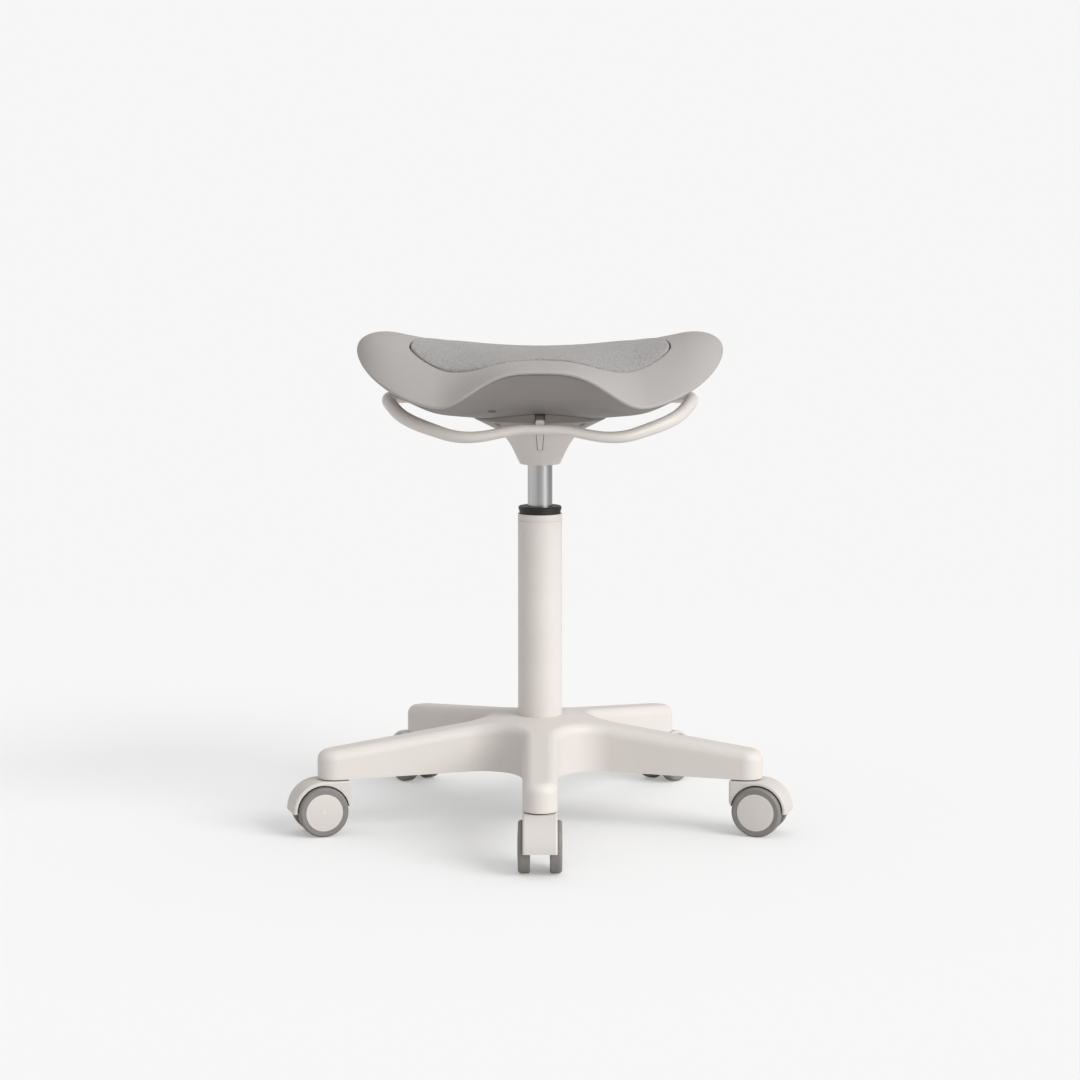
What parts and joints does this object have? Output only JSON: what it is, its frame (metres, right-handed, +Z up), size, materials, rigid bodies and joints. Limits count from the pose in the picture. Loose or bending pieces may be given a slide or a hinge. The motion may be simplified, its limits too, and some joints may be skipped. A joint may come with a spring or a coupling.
{
  "type": "saddle stool",
  "caption": "Swivel saddle stool: winged seat with a knit pad, ring lever under it, gas-lift column and a star base on twin-wheel castors.",
  "frame": {"origin": "on the floor, on the column's axis", "axes": "+Z up along the column, -Y towards the front of the seat, +X to the sitter's left"},
  "size_m": [0.5668, 0.5393, 0.5551],
  "materials": {
    "soft_shell": "soft-touch moulded, fine grain",
    "knit_pad": "knitted mesh over foam",
    "underside": "moulded, fine texture",
    "warm_white": "moulded satin, warm off-white",
    "painted_white": "powder coat, warm off-white",
    "lift_steel": "satin ground steel",
    "bush_black": "black acetal",
    "tread": "grey polyurethane",
    "steel": "zinc plated",
    "dark_rubber": "bump rubber"
  },
  "bodies": {
    "base": {"star_base": "warm_white", "column_tube": "painted_white", "guide_bush": "bush_black", "caster_stems": "steel", "stem_grip_rings": "steel", "thrust_bearing": "steel"},
    "gas_rod": {"piston_rod": "steel", "piston_head": "bush_black", "bump_stop": "dark_rubber", "thrust_washer": "steel", "rod_clip": "steel"},
    "seat": {"gas_cylinder": "lift_steel", "taper_socket": "steel", "mount_plate": "steel", "plate_bolts": "steel", "lever_pin": "steel", "seat_pan": "underside", "seat_shell": "soft_shell", "seat_pad": "knit_pad", "bell_housing": "warm_white", "bell_screws": "underside"},
    "release": {"release_ring": "painted_white", "release_arm": "warm_white"},
    "valve_button": {"release_button": "bush_black"},
    "caster_front": {"hood_front": "warm_white", "axle_front": "steel"},
    "wheel_front_a": {"tread_front_a": "tread", "wheel_front_a": "warm_white"},
    "wheel_front_b": {"tread_front_b": "tread", "wheel_front_b": "warm_white"},
    "caster_right": {"hood_right": "warm_white", "axle_right": "steel"},
    "wheel_right_a": {"tread_right_a": "tread", "wheel_right_a": "warm_white"},
    "wheel_right_b": {"tread_right_b": "tread", "wheel_right_b": "warm_white"},
    "caster_rear_right": {"hood_rear_right": "warm_white", "axle_rear_right": "steel"},
    "wheel_rear_right_a": {"tread_rear_right_a": "tread", "wheel_rear_right_a": "warm_white"},
    "wheel_rear_right_b": {"tread_rear_right_b": "tread", "wheel_rear_right_b": "warm_white"},
    "caster_rear_left": {"hood_rear_left": "warm_white", "axle_rear_left": "steel"},
    "wheel_rear_left_a": {"tread_rear_left_a": "tread", "wheel_rear_left_a": "warm_white"},
    "wheel_rear_left_b": {"tread_rear_left_b": "tread", "wheel_rear_left_b": "warm_white"},
    "caster_left": {"hood_left": "warm_white", "axle_left": "steel"},
    "wheel_left_a": {"tread_left_a": "tread", "wheel_left_a": "warm_white"},
    "wheel_left_b": {"tread_left_b": "tread", "wheel_left_b": "warm_white"}
  },
  "joints": [
    {"name": "seat_swivel", "type": "hinge", "parent": "base", "child": "gas_rod", "pos_m": [0, 0, 0.06], "axis": [0, 0, 1], "continuous": true},
    {"name": "seat_height", "type": "slide", "parent": "gas_rod", "child": "seat", "axis": [0, 0, 1], "range_m": [-0.04, 0.1]},
    {"name": "release_lift", "type": "hinge", "parent": "seat", "child": "release", "pos_m": [0, -0.028, 0.469], "axis": [-1, 0, 0], "range_deg": [0, 5], "stiffness_Nm_per_rad": 20, "springref_deg": -2.86},
    {"name": "valve_press", "type": "slide", "parent": "seat", "child": "valve_button", "axis": [0, 0, -1], "range_m": [0, 0.0026]},
    {"name": "swivel_front", "type": "hinge", "parent": "base", "child": "caster_front", "pos_m": [0, -0.242, 0.06], "axis": [0, 0, 1], "continuous": true},
    {"name": "spin_front_a", "type": "hinge", "parent": "caster_front", "child": "wheel_front_a", "pos_m": [0, -0.259, 0.028], "axis": [1, 0, 0], "continuous": true},
    {"name": "spin_front_b", "type": "hinge", "parent": "caster_front", "child": "wheel_front_b", "pos_m": [0, -0.259, 0.028], "axis": [1, 0, 0], "continuous": true},
    {"name": "swivel_right", "type": "hinge", "parent": "base", "child": "caster_right", "pos_m": [0.23016, -0.07478, 0.06], "axis": [0, 0, 1], "continuous": true},
    {"name": "spin_right_a", "type": "hinge", "parent": "caster_right", "child": "wheel_right_a", "pos_m": [0.24632, -0.08003, 0.028], "axis": [0.309, 0.9511, 0], "continuous": true},
    {"name": "spin_right_b", "type": "hinge", "parent": "caster_right", "child": "wheel_right_b", "pos_m": [0.24632, -0.08003, 0.028], "axis": [0.309, 0.9511, 0], "continuous": true},
    {"name": "swivel_rear_right", "type": "hinge", "parent": "base", "child": "caster_rear_right", "pos_m": [0.14224, 0.19578, 0.06], "axis": [0, 0, 1], "continuous": true},
    {"name": "spin_rear_right_a", "type": "hinge", "parent": "caster_rear_right", "child": "wheel_rear_right_a", "pos_m": [0.15224, 0.20953, 0.028], "axis": [-0.809, 0.5878, 0], "continuous": true},
    {"name": "spin_rear_right_b", "type": "hinge", "parent": "caster_rear_right", "child": "wheel_rear_right_b", "pos_m": [0.15224, 0.20953, 0.028], "axis": [-0.809, 0.5878, 0], "continuous": true},
    {"name": "swivel_rear_left", "type": "hinge", "parent": "base", "child": "caster_rear_left", "pos_m": [-0.14224, 0.19578, 0.06], "axis": [0, 0, 1], "continuous": true},
    {"name": "spin_rear_left_a", "type": "hinge", "parent": "caster_rear_left", "child": "wheel_rear_left_a", "pos_m": [-0.15224, 0.20953, 0.028], "axis": [-0.809, -0.5878, 0], "continuous": true},
    {"name": "spin_rear_left_b", "type": "hinge", "parent": "caster_rear_left", "child": "wheel_rear_left_b", "pos_m": [-0.15224, 0.20953, 0.028], "axis": [-0.809, -0.5878, 0], "continuous": true},
    {"name": "swivel_left", "type": "hinge", "parent": "base", "child": "caster_left", "pos_m": [-0.23016, -0.07478, 0.06], "axis": [0, 0, 1], "continuous": true},
    {"name": "spin_left_a", "type": "hinge", "parent": "caster_left", "child": "wheel_left_a", "pos_m": [-0.24632, -0.08003, 0.028], "axis": [0.309, -0.9511, 0], "continuous": true},
    {"name": "spin_left_b", "type": "hinge", "parent": "caster_left", "child": "wheel_left_b", "pos_m": [-0.24632, -0.08003, 0.028], "axis": [0.309, -0.9511, 0], "continuous": true}
  ],
  "couplings": [
    {"joint": "valve_press", "follows": "release_lift", "m_per_rad": 0.028}
  ]
}
